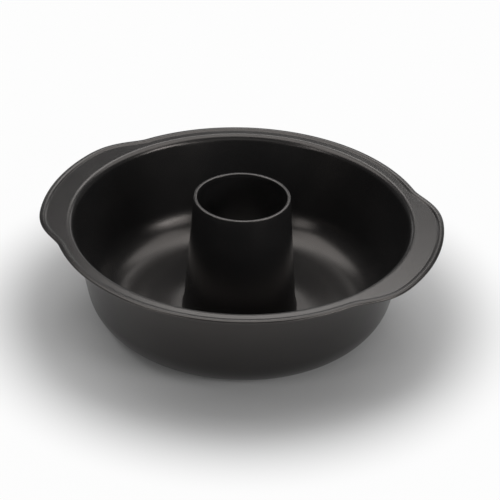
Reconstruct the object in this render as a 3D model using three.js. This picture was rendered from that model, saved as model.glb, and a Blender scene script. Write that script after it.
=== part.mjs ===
// Savarin mould: a deep-drawn ring pan with two lug handles, and a separate open centre tube.
// The tube's foot goes through the hole in the pan floor and clasps its edge in a folded seam.
// Millimetres, +Z up, +X through the lugs, origin on the table under the middle of the tube.
import * as THREE from "three";

const { degToRad, clamp, smoothstep } = THREE.MathUtils;

// Pan: one pressing of coated sheet steel
const panSheet = 0.8;
const mouthRadius = 130; // inside of the wall, where it starts to turn into the flange
const flangeHeight = 84.0; // top of the flange above the table
const wallTaper = degToRad(10.9); // from the vertical
const cornerRadius = 32; // inside, between floor and wall
const shoulderRadius = 5.5; // upper side of the bend from wall to flange
const flangeWidth = 15.5; // from the wall to the outside of the rolled edge

// Rolled edge: a low crown on the flange, a tight round outside and a hem folded back underneath
const edgeWidth = 5.4; // from the outside to where the crown meets the flange
const edgeRise = 1.1; // crown above the flange
const crownRadius = 4.5;
const edgeRoundRadius = 1.2;
const hemWidth = 4.2; // from the outside

// Lugs: the flange grows outwards on both sides of the pan
const lugReach = 11.4; // beyond the rolled edge of the plain rim
const lugHalfAngle = degToRad(37.8); // from the lug's middle to where the plain rim begins
const lugFlankAngle = degToRad(23.5); // part of it that the S-shaped flank takes
const lugFlankEase = 1.74; // over 1: quick to leave the rim, slow to join the lug

// Seat: the floor rises gently to the hole, so that the seam stays off the table
const seatRise = 2.2; // underside of the seat above the table
const seatWidth = 5.5; // flat ring around the hole
const seatRun = 28; // slope from the flat ring down to the floor

// Centre tube: a tapered pipe, open at both ends
const tubeSheet = 0.8;
const tubeHeight = 102.4; // top of the lip above the table
const tubeTopRadius = 37.5; // outside, under the lip
const tubeTaper = degToRad(4.3); // from the vertical, wider at the foot
const lipRadius = 1.2; // lip rolled inwards

// Seam: floor sheet held between a pressed bead and the folded foot of the tube
const seamClearance = 0.3;
const seamBeadRadius = 1.2;
const footReach = 4.0; // folded foot beyond the tube wall

// Facets
const cornerSteps = 6;
const bendSteps = 4;
const crownSteps = 4;
const roundSteps = 5;
const hemSteps = 3;
const lipSteps = 9;
const plainRimSteps = 20; // between one lug and the next
const flankSteps = 9;
const lugSteps = 6;
const tubeSides = 56;

const coatBlack = { color: 0x141414, roughness: 0.38, metalness: 0.0 };

// Heights that both pieces share at the seam
const seatTop = seatRise + panSheet;
const footTop = seatRise - seamClearance;
const footUnder = footTop - tubeSheet;
const beadUnder = seatTop + seamClearance;
const beadTop = beadUnder + 2 * seamBeadRadius;
const lipCentreHeight = tubeHeight - lipRadius;
const neckRadius = tubeTopRadius + (lipCentreHeight - beadTop) * Math.tan(tubeTaper);
const holeRadius = neckRadius + seamClearance;
const rimRadius = mouthRadius + flangeWidth;

// Points of an arc, both ends included.
function arc(centreX, centreY, radius, from, to, steps) {
  return Array.from({ length: steps + 1 }, (_, i) => {
    const angle = from + ((to - from) * i) / steps;
    return new THREE.Vector2(centreX + radius * Math.cos(angle), centreY + radius * Math.sin(angle));
  });
}

// Distance of the pan's outline from the axis, at an angle from +X.
function outlineRadius(angle) {
  const fromLug = Math.abs(Math.asin(Math.sin(angle))); // to the middle of the nearer lug
  const along = clamp((lugHalfAngle - fromLug) / lugFlankAngle, 0, 1);
  return rimRadius + lugReach * smoothstep(1 - (1 - along) ** lugFlankEase, 0, 1);
}

// The pan's outline at an angle: its point, and its outward direction in plan.
function outlineAt(angle) {
  const step = 1e-4;
  const radius = outlineRadius(angle);
  const slope = (outlineRadius(angle + step) - outlineRadius(angle - step)) / (2 * step);
  const point = new THREE.Vector2(radius, 0).rotateAround(new THREE.Vector2(), angle);
  const outward = new THREE.Vector2(radius, -slope).normalize().rotateAround(new THREE.Vector2(), angle);
  return { point, outward };
}

// Angles at which the pan's section is placed: close together on the lugs' flanks.
function panAngles() {
  const sectors = [
    [2 * (lugHalfAngle - lugFlankAngle), lugSteps],
    [lugFlankAngle, flankSteps],
    [Math.PI - 2 * lugHalfAngle, plainRimSteps],
    [lugFlankAngle, flankSteps],
  ];
  const angles = [];
  let start = lugFlankAngle - lugHalfAngle;
  for (const [span, steps] of [...sectors, ...sectors]) {
    for (let i = 0; i < steps; i++) angles.push(start + (span * i) / steps);
    start += span;
  }
  return angles;
}

// Rolled edge in (distance from the outline, height), from the foot of its crown round to the flange's underside.
function edgeSection() {
  const up = Math.PI / 2;
  const crownSpan = Math.acos((crownRadius - edgeRise) / crownRadius); // from the crest to the flange
  const crownCentre = crownRadius * Math.sin(crownSpan) - edgeWidth;
  const crownHeight = flangeHeight + edgeRise - crownRadius;
  const centresApart = crownRadius - edgeRoundRadius;
  const lean = Math.asin((-edgeRoundRadius - crownCentre) / centresApart); // where the round touches the crown
  const roundHeight = crownHeight + centresApart * Math.cos(lean);
  const hemUnder = roundHeight - edgeRoundRadius;
  const hemEndRadius = (flangeHeight - panSheet - hemUnder) / 2;
  return [
    ...arc(crownCentre, crownHeight, crownRadius, up + crownSpan, up - lean, crownSteps),
    ...arc(-edgeRoundRadius, roundHeight, edgeRoundRadius, up - lean, -up, roundSteps).slice(1),
    ...arc(-hemWidth, hemUnder + hemEndRadius, hemEndRadius, -up, -3 * up, hemSteps),
  ];
}

// Closed sheet section of the pan. Inner and outer faces hold (radius, height) and go round the axis;
// the rolled edge holds (distance from the outline, height) and follows the outline.
function panSection() {
  const cornerHeight = panSheet + cornerRadius;
  const shoulderHeight = flangeHeight - shoulderRadius;
  const shoulderCentre = mouthRadius + shoulderRadius * Math.cos(wallTaper);
  const wallTop = shoulderHeight + shoulderRadius * Math.sin(wallTaper);
  const wallFoot = cornerHeight - cornerRadius * Math.sin(wallTaper);
  const wallFootRadius = mouthRadius - (wallTop - wallFoot) * Math.tan(wallTaper);
  const cornerCentre = wallFootRadius - cornerRadius * Math.cos(wallTaper);
  const seatEdge = holeRadius + seatWidth;
  const down = -Math.PI / 2;
  const wallSide = Math.PI - wallTaper;

  const upperFace = [
    new THREE.Vector2(holeRadius, seatTop),
    new THREE.Vector2(seatEdge, seatTop),
    new THREE.Vector2(seatEdge + seatRun, panSheet),
    ...arc(cornerCentre, cornerHeight, cornerRadius, down, -wallTaper, cornerSteps),
    ...arc(shoulderCentre, shoulderHeight, shoulderRadius, wallSide, Math.PI / 2, bendSteps),
  ];
  const lowerFace = [
    ...arc(shoulderCentre, shoulderHeight, shoulderRadius - panSheet, Math.PI / 2, wallSide, bendSteps),
    ...arc(cornerCentre, cornerHeight, cornerRadius + panSheet, -wallTaper, down, cornerSteps),
    new THREE.Vector2(seatEdge + seatRun, 0),
    new THREE.Vector2(seatEdge, seatRise),
    new THREE.Vector2(holeRadius, seatRise),
  ];
  return { upperFace, rolledEdge: edgeSection(), lowerFace };
}

// Loft through closed rings of points; the last ring joins the first.
function ringLoft(rings) {
  const count = rings[0].length;
  const index = [];
  rings.forEach((ring, i) => {
    const here = i * count;
    const next = ((i + 1) % rings.length) * count;
    ring.forEach((_, j) => {
      const k = (j + 1) % count;
      index.push(here + j, here + k, next + j);
      index.push(here + k, next + k, next + j);
    });
  });
  return new THREE.BufferGeometry().setFromPoints(rings.flat()).setIndex(index);
}

function panGeometry() {
  const { upperFace, rolledEdge, lowerFace } = panSection();
  const rings = panAngles().map((angle) => {
    const { point, outward } = outlineAt(angle);
    const turned = (p) => new THREE.Vector3(p.x * Math.cos(angle), p.x * Math.sin(angle), p.y);
    const offset = (p) => new THREE.Vector3(point.x + outward.x * p.x, point.y + outward.y * p.x, p.y);
    return [...upperFace.map(turned), ...rolledEdge.map(offset), ...lowerFace.map(turned)];
  });
  return ringLoft(rings);
}

// Tube: revolved sheet section, from the fold at the foot out, up the outside, over the lip and down.
function tubeGeometry() {
  const half = tubeSheet / 2;
  const quarter = Math.PI / 2;
  const footEnd = neckRadius + footReach - half;
  const lipCentre = tubeTopRadius - lipRadius;
  const lipEnd = 2 * Math.PI - Math.acos((lipRadius - tubeSheet) / lipRadius);
  const section = [
    ...arc(neckRadius, footTop, tubeSheet, 2 * quarter, 3 * quarter, bendSteps),
    ...arc(footEnd, footUnder + half, half, -quarter, quarter, bendSteps),
    new THREE.Vector2(neckRadius, footTop),
    ...arc(neckRadius, beadUnder + seamBeadRadius, seamBeadRadius, -quarter, quarter, bendSteps),
    ...arc(lipCentre, lipCentreHeight, lipRadius, 0, lipEnd, lipSteps),
  ];
  section.push(section[0].clone());
  return new THREE.LatheGeometry(section, tubeSides).rotateX(quarter);
}

function piece(name, geometry) {
  const mesh = new THREE.Mesh(geometry, new THREE.MeshStandardMaterial(coatBlack));
  mesh.name = name;
  mesh.geometry.computeVertexNormals();
  return mesh;
}

const savarinMould = new THREE.Group();
savarinMould.name = "savarin_mould";
savarinMould.add(piece("ring_pan", panGeometry()));
savarinMould.add(piece("centre_tube", tubeGeometry()));

export default savarinMould;
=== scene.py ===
# Savarin mould: a black coated ring pan with two lug handles, and its open centre tube
import bpy
import bmesh
import math
from mathutils import Matrix, Vector


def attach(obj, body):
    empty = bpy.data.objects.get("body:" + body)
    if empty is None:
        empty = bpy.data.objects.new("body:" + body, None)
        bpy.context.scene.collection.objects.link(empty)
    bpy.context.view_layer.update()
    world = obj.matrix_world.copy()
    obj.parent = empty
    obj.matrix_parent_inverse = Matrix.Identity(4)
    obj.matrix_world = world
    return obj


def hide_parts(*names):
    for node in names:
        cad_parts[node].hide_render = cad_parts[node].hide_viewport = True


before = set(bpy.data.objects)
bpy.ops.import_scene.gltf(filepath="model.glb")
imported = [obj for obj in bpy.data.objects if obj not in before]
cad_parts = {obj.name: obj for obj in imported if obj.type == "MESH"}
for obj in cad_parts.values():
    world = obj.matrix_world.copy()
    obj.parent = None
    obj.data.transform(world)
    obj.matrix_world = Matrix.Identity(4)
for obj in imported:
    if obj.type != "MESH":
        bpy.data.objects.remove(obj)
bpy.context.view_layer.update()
mm = 0.001
weld = 0.000002  # metres, points closer than this are merged
mirrorWeld = 0.000005
smoothAngle = 38  # sharper bends than this stay sharp
print("frame loaded:", ", ".join(sorted(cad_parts)))


def arcPoints(centreR, centreZ, radius, fromDeg, toDeg, steps):  # both ends included
    points = []
    for i in range(steps + 1):
        angle = math.radians(fromDeg + (toDeg - fromDeg) * i / steps)
        points.append((centreR + radius * math.cos(angle), centreZ + radius * math.sin(angle)))
    return points


def easePoints(fromR, fromZ, toR, toZ, steps):  # soft S from one level to another
    points = []
    for i in range(steps + 1):
        t = i / steps
        points.append((fromR + (toR - fromR) * t, fromZ + (toZ - fromZ) * t * t * (3 - 2 * t)))
    return points


def linePoints(start, end, shares):  # holding points, so that shading stays on the bends
    run, rise = end[0] - start[0], end[1] - start[1]
    return [(start[0] + run * share, start[1] + rise * share) for share in shares]


def wireSection(name, points):  # one vertex, extruded along the sheet's section in XZ, then closed
    bpy.ops.object.select_all(action="DESELECT")
    bpy.ops.mesh.primitive_plane_add(size=10 * mm, location=(0, 0, 0))
    piece = bpy.context.object
    piece.name = name
    piece.data.name = name
    bpy.ops.object.mode_set(mode="EDIT")
    bpy.ops.mesh.select_mode(type="VERT")
    bpy.ops.mesh.select_all(action="SELECT")
    bpy.ops.mesh.merge(type="CENTER")
    bpy.ops.transform.translate(value=(points[0][0] * mm, 0, points[0][1] * mm))
    for here, there in zip(points, points[1:]):
        move = ((there[0] - here[0]) * mm, 0, (there[1] - here[1]) * mm)
        bpy.ops.mesh.extrude_vertices_move(TRANSFORM_OT_translate={"value": move})
    bm = bmesh.from_edit_mesh(piece.data)
    for v in bm.verts:
        v.select_set(len(v.link_edges) < 2)  # the two loose ends
    bm.select_flush_mode()
    bmesh.update_edit_mesh(piece.data)
    bpy.ops.mesh.edge_face_add()
    bpy.ops.mesh.select_all(action="SELECT")
    return piece


def spinSection(steps, degrees):  # the wire goes round the axis, and its seam is merged
    bpy.ops.mesh.spin(steps=steps, angle=math.radians(degrees), center=(0, 0, 0), axis=(0, 0, 1))
    bpy.ops.mesh.select_all(action="SELECT")
    bpy.ops.mesh.remove_doubles(threshold=weld)


def closeUp():  # faces out, smooth all but the sharp ends
    bpy.ops.mesh.select_all(action="SELECT")
    bpy.ops.mesh.remove_doubles(threshold=weld)
    bpy.ops.mesh.normals_make_consistent(inside=False)
    bpy.ops.object.mode_set(mode="OBJECT")
    bpy.ops.object.shade_smooth_by_angle(angle=math.radians(smoothAngle))


# Ring pan, in millimetres and degrees
ringPan = {
    "sheet": 0.8,
    "mouth": 130.0,  # inside of the wall at the shoulder
    "flangeTop": 84.0,
    "taper": 10.9,  # wall, from the vertical
    "corner": 32.0,  # inside, floor to wall
    "shoulder": 5.5,  # upper side of the bend into the flange
    "flange": 15.5,  # from the wall to the outside of the rolled edge
    "edge": 5.4,  # rolled edge, from the outside to where its crown meets the flange
    "edgeRise": 1.1,  # crown above the flange
    "crown": 4.5,
    "edgeRound": 1.2,
    "groove": 0.6,  # fillet where the crown comes down on the flange
    "hem": 4.2,  # folded back under the flange, from the outside
    "lugReach": 11.4,  # beyond the plain rim
    "lugHalf": 37.8,  # from the lug's middle to the plain rim
    "lugFlank": 23.5,  # part of it that the S-shaped flank takes
    "lugEase": 1.74,  # over 1: quick to leave the rim, slow to join the lug
    "hole": 44.98,
    "seatRise": 2.2,  # the floor rises to the hole
    "seatFlat": 5.5,
    "seatRun": 28.0,
    "hold": 0.5,  # holding points beside the large bends
    "edgeHold": 0.3,  # and beside the small ones
    "underHold": 0.4,  # and under the groove
    "wallHold": (0.03, 0.12, 0.5, 0.9, 0.98),  # and along the wall
    "riseSteps": 10,
    "cornerSteps": 30,
    "shoulderSteps": 12,
    "grooveSteps": 4,
    "edgeSteps": 14,
    "hemSteps": 8,
    "spinSteps": 72,  # for a quarter of the pan
}


def panOutline(deg):  # plan radius of the rim, grown into the lugs
    p = ringPan
    along = min(max((p["lugHalf"] - abs(deg)) / p["lugFlank"], 0), 1)
    ease = 1 - (1 - along) ** p["lugEase"]
    return p["mouth"] + p["flange"] + p["lugReach"] * ease * ease * (3 - 2 * ease)


def panSection():
    p = ringPan
    taper = math.radians(p["taper"])
    sheet, corner, shoulder, hold = p["sheet"], p["corner"], p["shoulder"], p["hold"]
    rim = p["mouth"] + p["flange"]
    flangeTop, flangeUnder = p["flangeTop"], p["flangeTop"] - sheet
    seatTop = p["seatRise"] + sheet
    seatEdge = p["hole"] + p["seatFlat"]
    seatEnd = seatEdge + p["seatRun"]

    # Wall between the rounded corner and the shoulder
    cornerZ = sheet + corner
    shoulderZ = flangeTop - shoulder
    shoulderR = p["mouth"] + shoulder * math.cos(taper)
    wallTop = shoulderZ + shoulder * math.sin(taper)
    wallFoot = cornerZ - corner * math.sin(taper)
    wallFootR = p["mouth"] - (wallTop - wallFoot) * math.tan(taper)
    cornerR = wallFootR - corner * math.cos(taper)
    outer = corner + sheet
    outerFoot = (cornerR + outer * math.cos(taper), cornerZ - outer * math.sin(taper))

    # Rolled edge: fillet, low crown, tight round outside, hem underneath
    crown, groove, edgeRound = p["crown"], p["groove"], p["edgeRound"]
    crownR = rim - p["edge"] + math.sqrt(2 * crown * p["edgeRise"] - p["edgeRise"] ** 2)
    crownZ = flangeTop + p["edgeRise"] - crown
    filletZ = flangeTop + groove
    filletR = crownR - math.sqrt((crown + groove) ** 2 - (filletZ - crownZ) ** 2)
    # Fillet and crown touch at one angle, crown and round at another
    meet = math.degrees(math.atan2(filletZ - crownZ, filletR - crownR))
    lean = math.degrees(math.asin((rim - edgeRound - crownR) / (crown - edgeRound)))
    roundZ = crownZ + (crown - edgeRound) * math.cos(math.radians(lean))
    hemUnder = roundZ - edgeRound
    hemEnd = (flangeUnder - hemUnder) / 2
    besideEdge = filletR - p["edgeHold"]
    edgeFrom = besideEdge - p["edgeHold"]  # from here outwards the section follows the lugs

    # Once round the sheet: inner side, rolled edge, outer side
    upper = [(p["hole"], seatTop), (seatEdge - 2 * hold, seatTop)]
    upper += easePoints(seatEdge - hold, seatTop, seatEnd + hold, sheet, p["riseSteps"])
    upper += [(seatEnd + 3 * hold, sheet), (cornerR - 2 * hold, sheet)]
    upper += arcPoints(cornerR, cornerZ, corner, -90, -p["taper"], p["cornerSteps"])
    upper += linePoints(upper[-1], (p["mouth"], wallTop), p["wallHold"])
    upper += arcPoints(shoulderR, shoulderZ, shoulder, 180 - p["taper"], 90, p["shoulderSteps"])
    upper += [(shoulderR + hold, flangeTop), (besideEdge, flangeTop)]
    edge = arcPoints(filletR, filletZ, groove, -90, meet - 180, p["grooveSteps"])
    edge += arcPoints(crownR, crownZ, crown, meet, 90 - lean, p["edgeSteps"])[1:]
    edge += arcPoints(rim - edgeRound, roundZ, edgeRound, 90 - lean, -90, p["edgeSteps"])[1:]
    edge += [(rim - p["hem"] + 2 * p["edgeHold"], hemUnder)]
    edge += arcPoints(rim - p["hem"], hemUnder + hemEnd, hemEnd, -90, -270, p["hemSteps"])
    lower = [(filletR - p["underHold"], flangeUnder), (shoulderR + hold, flangeUnder)]
    bend = shoulder - sheet
    lower += arcPoints(shoulderR, shoulderZ, bend, 90, 180 - p["taper"], p["shoulderSteps"])
    lower += linePoints(lower[-1], outerFoot, p["wallHold"])
    lower += arcPoints(cornerR, cornerZ, outer, -p["taper"], -90, p["cornerSteps"])
    lower += [(cornerR - 2 * hold, 0.0), (seatEnd + 3 * hold, 0.0)]
    lower += easePoints(seatEnd + hold, 0.0, seatEdge - hold, p["seatRise"], p["riseSteps"])
    lower += [(seatEdge - 2 * hold, p["seatRise"]), (p["hole"], p["seatRise"])]
    return upper + edge + lower, edgeFrom


def growLug(piece, edgeFrom):  # the rolled edge of each column moves out and turns to the outline
    stepDeg = 90.0 / ringPan["spinSteps"]
    nudge = 0.01  # degrees to either side, for the outline's slope
    rim = ringPan["mouth"] + ringPan["flange"]
    bm = bmesh.from_edit_mesh(piece.data)
    bm.verts.index_update()
    columns = {}
    for v in bm.verts:
        if math.hypot(v.co.x, v.co.y) > edgeFrom * mm:
            step = round(math.degrees(math.atan2(abs(v.co.y), v.co.x)) / stepDeg)
            columns.setdefault(step, []).append(v.index)
    side = 1 if max(v.co.y for v in bm.verts) > rim * mm / 2 else -1  # the way the spin went
    for step in sorted(columns):
        deg = step * stepDeg
        grown = panOutline(deg)
        if grown <= rim:
            continue
        slope = (panOutline(deg + nudge) - panOutline(deg - nudge)) / math.radians(2 * nudge)
        turn = math.atan2(slope, grown) * side
        out = Vector((math.cos(math.radians(deg)), side * math.sin(math.radians(deg)), 0))
        bpy.ops.mesh.select_all(action="DESELECT")
        bm = bmesh.from_edit_mesh(piece.data)
        bm.verts.ensure_lookup_table()
        for index in columns[step]:
            bm.verts[index].select_set(True)
        bmesh.update_edit_mesh(piece.data)
        bpy.ops.transform.translate(value=out * (grown - rim) * mm)
        bpy.ops.transform.rotate(value=turn, orient_axis="Z", center_override=out * grown * mm)


section, edgeFrom = panSection()
pan = wireSection("ring_pan_body", section)
spinSection(ringPan["spinSteps"], 90)
growLug(pan, edgeFrom)
bpy.ops.object.mode_set(mode="OBJECT")
quarters = pan.modifiers.new("otherQuarters", "MIRROR")
quarters.use_axis = (True, True, False)
quarters.use_clip = True
quarters.merge_threshold = mirrorWeld
bpy.ops.object.modifier_apply(modifier="otherQuarters")
bpy.ops.object.mode_set(mode="EDIT")
closeUp()
print("ring pan:", len(pan.data.polygons), "faces, section of", len(section), "points")

# Centre tube, in millimetres and degrees
centreTube = {
    "sheet": 0.8,
    "height": 102.4,
    "topRadius": 37.5,  # outside, under the lip
    "taper": 4.3,  # from the vertical, wider at the foot
    "lip": 1.35,  # rolled inwards, half its width
    "lipCrown": 7.0,
    "lipRound": 0.55,
    "clearance": 0.3,
    "bead": 1.2,  # pressed above the floor
    "beadEnd": 84,  # the bead's arc stops short of the wall
    "aboveBead": 0.15,  # to the start of the wall
    "beadTaper": 0.1,  # length of wall whose taper is taken up there
    "foot": 4.0,  # folded out under the floor
    "underLip": 0.05,
    "outerHold": (0.02, 0.25, 0.5, 0.75, 0.97, 0.99),  # holding points up the outside
    "innerHold": (0.01, 0.03, 0.25, 0.5, 0.75, 0.98),  # and down the inside
    "bendSteps": 8,
    "beadSteps": 14,
    "spinSteps": 160,
}


def tubeSection():
    t = centreTube
    sheet, lip, bead, steps = t["sheet"], t["lip"], t["bead"], t["bendSteps"]
    taper = math.radians(t["taper"])
    footTop = ringPan["seatRise"] - t["clearance"]
    footMiddle = footTop - sheet / 2
    beadUnder = ringPan["seatRise"] + ringPan["sheet"] + t["clearance"]
    beadTop = beadUnder + 2 * bead
    neck = t["topRadius"] + (t["height"] - lip - beadTop) * math.tan(taper)

    # Lip, from the outside over its low crown to the inside
    crown, lipRound = t["lipCrown"], t["lipRound"]
    lipR = t["topRadius"] - lip
    innerR = lipR - lip + lipRound
    lipUnder = t["height"] - 2 * lip
    lean = math.degrees(math.asin((lip - lipRound) / (crown - lipRound)))  # they touch here
    roundZ = t["height"] - crown + (crown - lipRound) * math.cos(math.radians(lean))
    rolled = arcPoints(lipR + lip - lipRound, roundZ, lipRound, t["taper"], 90 - lean, steps)
    rolled += arcPoints(lipR, t["height"] - crown, crown, 90 - lean, 90 + lean, steps)[1:]
    rolled += arcPoints(innerR, roundZ, lipRound, 90 + lean, 180, steps)[1:]
    rolled += arcPoints(innerR, lipUnder + lipRound, lipRound, 180, 270, steps)
    rolled += [(t["topRadius"] - sheet - t["underLip"], lipUnder)]

    # Once round the sheet: folded foot, bead, outside, lip, inside
    wallFoot = (neck - t["beadTaper"] * math.tan(taper), beadTop + t["aboveBead"])
    inside = (neck - sheet, beadTop)
    points = arcPoints(neck, footTop, sheet, 180, 270, steps)
    points += arcPoints(neck + t["foot"] - sheet / 2, footMiddle, sheet / 2, -90, 90, steps)
    points += [(neck, footTop)]
    points += arcPoints(neck, beadUnder + bead, bead, -90, t["beadEnd"], t["beadSteps"])
    points += [wallFoot] + linePoints(wallFoot, rolled[0], t["outerHold"])
    points += rolled + linePoints(rolled[-1], inside, t["innerHold"])
    return points + [inside]


tube = wireSection("centre_tube_body", tubeSection())
spinSection(centreTube["spinSteps"], 360)
closeUp()
print("centre tube:", len(tube.data.polygons), "faces")

# Satin non-stick coat
satinCoat = {
    "black": (0.0110, 0.0108, 0.0110, 1),
    "blackWorn": (0.0128, 0.0125, 0.0125, 1),
    "tintSpan": (0.35, 0.7),  # of the clouds
    "roughSpan": (0.3, 0.7),
    "rough": (0.245, 0.27),
    "cloud": 55.0,  # per metre
    "cloudDetail": 4.0,
    "grain": 1500.0,
    "grainDetail": 2.0,
    "peel": 0.12,  # fine orange peel of the coat
    "peelDepth": 0.00004,
    "gloss": 0.6,  # specular level
    "sheen": (1.0, 0.925, 0.875, 1),  # warm cast of the reflections
}


def node(tree, kind, x, y, **values):
    made = tree.nodes.new(kind)
    made.location = (x, y)
    for name, value in values.items():
        setattr(made, name, value)
    return made


def makeCoat(name):
    c = satinCoat
    coat = bpy.data.materials.new(name)
    coat.use_nodes = True
    tree = coat.node_tree
    tree.nodes.clear()
    out = node(tree, "ShaderNodeOutputMaterial", 900, 0)
    skin = node(tree, "ShaderNodeBsdfPrincipled", 600, 0)
    skin.inputs["Specular IOR Level"].default_value = c["gloss"]
    skin.inputs["Specular Tint"].default_value = c["sheen"]
    place = node(tree, "ShaderNodeTexCoord", -900, 0)
    cloud = node(tree, "ShaderNodeTexNoise", -600, 200)
    cloud.inputs["Scale"].default_value = c["cloud"]
    cloud.inputs["Detail"].default_value = c["cloudDetail"]
    grain = node(tree, "ShaderNodeTexNoise", -600, -200)
    grain.inputs["Scale"].default_value = c["grain"]
    grain.inputs["Detail"].default_value = c["grainDetail"]
    tint = node(tree, "ShaderNodeValToRGB", -300, 300)
    stops = tint.color_ramp.elements
    stops[0].position, stops[1].position = c["tintSpan"]
    stops[0].color, stops[1].color = c["black"], c["blackWorn"]
    rough = node(tree, "ShaderNodeMapRange", -300, 0)
    rough.inputs["From Min"].default_value, rough.inputs["From Max"].default_value = c["roughSpan"]
    rough.inputs["To Min"].default_value, rough.inputs["To Max"].default_value = c["rough"]
    peel = node(tree, "ShaderNodeBump", 200, -250)
    peel.inputs["Strength"].default_value = c["peel"]
    peel.inputs["Distance"].default_value = c["peelDepth"]
    tree.links.new(place.outputs["Object"], cloud.inputs["Vector"])
    tree.links.new(place.outputs["Object"], grain.inputs["Vector"])
    tree.links.new(cloud.outputs["Fac"], tint.inputs["Fac"])
    tree.links.new(cloud.outputs["Fac"], rough.inputs["Value"])
    tree.links.new(grain.outputs["Fac"], peel.inputs["Height"])
    tree.links.new(tint.outputs["Color"], skin.inputs["Base Color"])
    tree.links.new(rough.outputs["Result"], skin.inputs["Roughness"])
    tree.links.new(peel.outputs["Normal"], skin.inputs["Normal"])
    tree.links.new(skin.outputs["BSDF"], out.inputs["Surface"])
    return coat


coat = makeCoat("satinCoat")
for piece, cadNode in ((pan, "ring_pan"), (tube, "centre_tube")):
    piece.data.materials.clear()
    piece.data.materials.append(coat)
    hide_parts(cadNode)
    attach(piece, "root")
print("coat on both pieces")

# Camera, at the place found from the rim, wall and tube outlines
shot = {
    "turn": 18.42,  # round the object, degrees
    "rise": 32.74,
    "away": 1.421,  # metres
    "aimZ": 0.040,
    "roll": 1.485,
    "right": 0.00528,  # the look turns this far off the aim
    "up": 0.00813,
    "lens": 129.6,
    "sensor": 36.0,
    "near": 0.05,
}


def placeCamera():
    rise, roll = math.radians(shot["rise"]), math.radians(shot["roll"])
    ahead = Vector((0, math.cos(rise), -math.sin(rise)))
    right = Vector((1, 0, 0))
    up = right.cross(ahead)
    rolledRight = right * math.cos(roll) + up * math.sin(roll)
    rolledUp = up * math.cos(roll) - right * math.sin(roll)
    look = (ahead + rolledRight * shot["right"] + rolledUp * shot["up"]).normalized()
    side = look.cross(rolledUp).normalized()
    top = side.cross(look)
    turn = Matrix.Rotation(math.radians(shot["turn"]), 4, "Z")
    pose = Matrix((side, top, -look)).transposed().to_4x4()
    pose.translation = Vector((0, 0, shot["aimZ"])) - ahead * shot["away"]
    lens = bpy.data.cameras.new("camera")
    lens.lens = shot["lens"]
    lens.sensor_width = shot["sensor"]
    lens.clip_start = shot["near"]
    camera = bpy.data.objects.new("camera", lens)
    bpy.context.scene.collection.objects.link(camera)
    camera.matrix_world = turn @ pose
    bpy.context.scene.camera = camera


placeCamera()
print("camera placed")

# Studio: pale floor, soft boxes, plain surround
studio = {
    "floor": 12.0,  # metres
    "floorColour": (0.62, 0.62, 0.62, 1),
    "whiteFrom": 0.155,  # the floor turns white outwards, from here to there
    "whiteTo": 0.235,
    "whiteMost": 0.95,
    "surround": (0.08, 0.08, 0.08, 1),
}


def makeFloor():
    bpy.ops.object.select_all(action="DESELECT")
    bpy.ops.mesh.primitive_plane_add(size=studio["floor"], location=(0, 0, 0))
    floor = bpy.context.object
    floor.name = "floor"
    pale = bpy.data.materials.new("paleFloor")
    pale.use_nodes = True
    tree = pale.node_tree
    tree.nodes.clear()
    out = node(tree, "ShaderNodeOutputMaterial", 600, 0)
    mix = node(tree, "ShaderNodeMixShader", 400, 0)
    matt = node(tree, "ShaderNodeBsdfDiffuse", 200, -100)
    matt.inputs["Color"].default_value = studio["floorColour"]
    white = node(tree, "ShaderNodeEmission", 200, -300)
    path = node(tree, "ShaderNodeLightPath", -400, 200)
    seen = node(tree, "ShaderNodeMath", -200, 200, operation="MAXIMUM")
    through = node(tree, "ShaderNodeMath", 0, 200, operation="MAXIMUM")
    place = node(tree, "ShaderNodeTexCoord", -600, -100)
    reach = node(tree, "ShaderNodeVectorMath", -400, -100, operation="LENGTH")
    whiter = node(tree, "ShaderNodeMapRange", -200, -100, interpolation_type="SMOOTHSTEP")
    whiter.inputs["From Min"].default_value = studio["whiteFrom"]
    whiter.inputs["From Max"].default_value = studio["whiteTo"]
    whiter.inputs["To Max"].default_value = studio["whiteMost"]
    share = node(tree, "ShaderNodeMath", 200, 200, operation="MULTIPLY")
    tree.links.new(path.outputs["Is Camera Ray"], seen.inputs[0])
    tree.links.new(path.outputs["Is Glossy Ray"], seen.inputs[1])
    tree.links.new(seen.outputs[0], through.inputs[0])
    tree.links.new(path.outputs["Is Transmission Ray"], through.inputs[1])
    tree.links.new(through.outputs[0], share.inputs[0])
    tree.links.new(place.outputs["Object"], reach.inputs[0])
    tree.links.new(reach.outputs["Value"], whiter.inputs["Value"])
    tree.links.new(whiter.outputs["Result"], share.inputs[1])
    tree.links.new(share.outputs[0], mix.inputs["Fac"])
    tree.links.new(matt.outputs["BSDF"], mix.inputs[1])
    tree.links.new(white.outputs["Emission"], mix.inputs[2])
    tree.links.new(mix.outputs["Shader"], out.inputs["Surface"])
    floor.data.materials.append(pale)


def makeWorld():
    world = bpy.data.worlds.new("surround")
    bpy.context.scene.world = world
    world.use_nodes = True
    tree = world.node_tree
    tree.nodes.clear()
    out = node(tree, "ShaderNodeOutputWorld", 600, 0)
    back = node(tree, "ShaderNodeBackground", 400, 0)
    back.inputs["Color"].default_value = studio["surround"]
    tree.links.new(back.outputs["Background"], out.inputs["Surface"])


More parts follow.
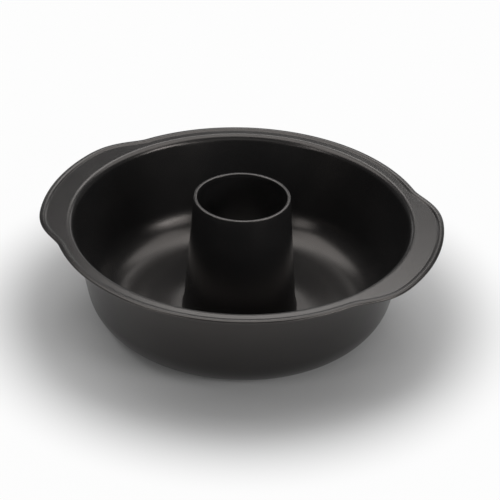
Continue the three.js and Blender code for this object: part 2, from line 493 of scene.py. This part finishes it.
# Metres, seen from the camera: x right, y away, z up; a glow of 1 looks white
softBoxes = {
    "overLeft": {"at": (-0.95, 0.25, 1.3), "aim": (-0.95, 0.25, 0),
                 "size": (0.7, 1.5), "glow": 2.26},
    "overMiddle": {"at": (0, 0.22, 1.3), "aim": (0, 0.22, 0),
                   "size": (1.2, 0.75), "glow": 2.44},
    "overFar": {"at": (0, 0.8, 1.3), "aim": (0, 0.8, 0),
                "size": (1.2, 0.4), "glow": 1.13},
    "overLast": {"at": (0.12, 1.22, 1.3), "aim": (0.12, 1.22, 0),
                 "size": (0.95, 0.45), "glow": 2.09},
    "overRight": {"at": (0.92, 0.3, 1.3), "aim": (0.92, 0.3, 0),
                  "size": (0.65, 1.4), "glow": 1.91},
    "backStrip": {"at": (0.1, 1.5, 1.28), "aim": (0.1, 0, 1.28),
                  "size": (0.62, 0.32), "glow": 3.83},
    "backLow": {"at": (0.15, 1.5, 0.45), "aim": (0.15, 0, 0.45),
                "size": (0.4, 0.4), "glow": 0.78},
    "backLeft": {"at": (-0.52, 1.5, 0.54), "aim": (-0.52, 0, 0.54),
                 "size": (0.45, 0.3), "glow": 1.13},
    "backRight": {"at": (0.56, 1.5, 0.6), "aim": (0.56, 0, 0.6),
                  "size": (0.4, 0.36), "glow": 1.57},
    "rightKey": {"at": (1.48, -0.93, 0.6), "aim": (0, 0, 0),
                 "size": (0.75, 0.37), "glow": 8.18},
    "rightTop": {"at": (1.33, -0.85, 0.95), "aim": (0, 0, 0),
                 "size": (0.64, 0.46), "glow": 2.96},
    "rightLow": {"at": (1.14, -1.46, 0.28), "aim": (0, 0, 0),
                 "size": (0.52, 0.36), "glow": 6.26},
    "leftKey": {"at": (-1.29, -1.01, 0.84), "aim": (0, 0, 0),
                "size": (0.35, 0.86), "glow": 2.96},
    "leftLow": {"at": (-1.14, -1.46, 0.28), "aim": (0, 0, 0),
                "size": (0.52, 0.36), "glow": 3.31},
    "front": {"at": (0, -1.4, 0.93), "aim": (0, 0, 0.1),
              "size": (1.6, 0.76), "glow": 0.43},
}


def makeSoftBox(name, box):
    turn = Matrix.Rotation(math.radians(shot["turn"]), 4, "Z")
    lamp = bpy.data.lights.new(name, "AREA")
    lamp.shape = "RECTANGLE"
    lamp.size, lamp.size_y = box["size"]
    lamp.energy = box["glow"] * math.pi * lamp.size * lamp.size_y
    holder = bpy.data.objects.new(name, lamp)
    bpy.context.scene.collection.objects.link(holder)
    away = Vector(box["aim"]) - Vector(box["at"])
    face = away.to_track_quat("-Z", "Y").to_matrix().to_4x4()
    holder.matrix_world = turn @ Matrix.Translation(box["at"]) @ face
    holder.visible_camera = False


makeFloor()
makeWorld()
for name, box in softBoxes.items():
    makeSoftBox(name, box)
bpy.context.scene.view_settings.view_transform = "Standard"
print("studio ready")
